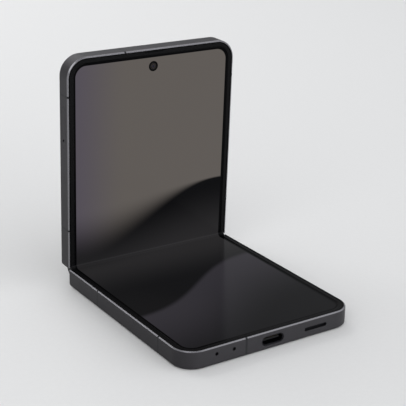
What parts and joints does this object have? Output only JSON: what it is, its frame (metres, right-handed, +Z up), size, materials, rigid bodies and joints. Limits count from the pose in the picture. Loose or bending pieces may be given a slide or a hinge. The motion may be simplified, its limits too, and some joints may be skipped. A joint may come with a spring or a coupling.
{
  "type": "folding phone",
  "caption": "Clamshell folding phone standing half open, with a bending display, covered hinge spine, side keys, SIM tray, charging port and rear cameras.",
  "frame": {"origin": "centre of the lower half's flat back, which rests on the table", "axes": "+X across the phone to the right of someone facing the display, +Y from the charging port towards the fold, +Z up out of the lower half's display"},
  "size_m": [0.0723, 0.0891, 0.0893],
  "materials": {
    "rail_metal": "fine blasted graphite anodising",
    "band_plastic": "satin",
    "lower_glass": "satin etched, dark",
    "upper_glass": "polished, black",
    "bezel_rubber": "satin",
    "screen": "polished, over a lit display",
    "cell_wrap": "smooth foil",
    "copper": "bare copper",
    "board_laminate": "satin",
    "steel": "satin",
    "screw_steel": "bright",
    "black_plastic": "satin",
    "spine_metal": "polished graphite",
    "ring_metal": "polished graphite",
    "lens_glass": "polished",
    "flash_diffuser": "clear satin",
    "contact_gold": "gold plated"
  },
  "bodies": {
    "lower_half": {"lower_frame": "rail_metal", "lower_back_glass": "lower_glass", "lower_bezel": "bezel_rubber", "lower_display": "screen", "lower_antenna_bands": "band_plastic", "lower_battery": "cell_wrap", "charging_coil": "copper", "sub_board": "board_laminate", "usb_shell": "steel", "usb_tongue": "black_plastic", "loudspeaker": "black_plastic", "speaker_mesh": "black_plastic", "vibration_motor": "steel", "microphones": "contact_gold", "lower_screws": "screw_steel", "lower_hinge_arms": "steel", "lower_arm_screws": "screw_steel"},
    "hinge_spine": {"hinge_cover": "spine_metal", "hinge_end_caps": "black_plastic", "hinge_bases": "steel", "hinge_base_screws": "screw_steel", "fold_display": "screen"},
    "upper_half": {"upper_frame": "rail_metal", "upper_back_glass": "upper_glass", "upper_bezel": "bezel_rubber", "upper_display": "screen", "upper_antenna_bands": "band_plastic", "upper_battery": "cell_wrap", "main_board": "board_laminate", "board_shields": "steel", "front_camera": "black_plastic", "earpiece": "black_plastic", "rear_camera_modules": "black_plastic", "rear_camera_rings": "ring_metal", "rear_camera_lenses": "lens_glass", "flash_unit": "flash_diffuser", "cover_display": "black_plastic", "key_switches": "contact_gold", "sim_socket": "steel", "upper_screws": "screw_steel", "upper_hinge_arms": "steel", "upper_arm_screws": "screw_steel"},
    "volume_key": {"volume_key": "rail_metal"},
    "power_key": {"power_key": "rail_metal"},
    "sim_tray": {"sim_tray": "rail_metal"}
  },
  "joints": [
    {"name": "fold_lower", "type": "hinge", "parent": "lower_half", "child": "hinge_spine", "pos_m": [0, 0.04002, 0.0059], "axis": [1, 0, 0], "range_deg": [-46, 44], "deforming": ["fold_display"]},
    {"name": "fold_upper", "type": "hinge", "parent": "hinge_spine", "child": "upper_half", "pos_m": [0, 0.04218, 0.00813], "axis": [1, 0, 0], "range_deg": [-46, 44]},
    {"name": "volume_rock", "type": "hinge", "parent": "upper_half", "child": "volume_key", "pos_m": [0.0341, 0.04262, 0.06363], "axis": [0, -0.9994, -0.0349], "range_deg": [-1, 1], "stiffness_Nm_per_rad": 0.5},
    {"name": "power_press", "type": "slide", "parent": "upper_half", "child": "power_key", "axis": [-1, 0, 0], "range_m": [0, 0.00025], "stiffness_N_per_m": 800, "springref_m": -0.0005},
    {"name": "tray_slide", "type": "slide", "parent": "upper_half", "child": "sim_tray", "axis": [-1, 0, 0], "range_m": [0, 0.016]}
  ],
  "couplings": [
    {"joint": "fold_upper", "follows": "fold_lower", "ratio": 1}
  ]
}
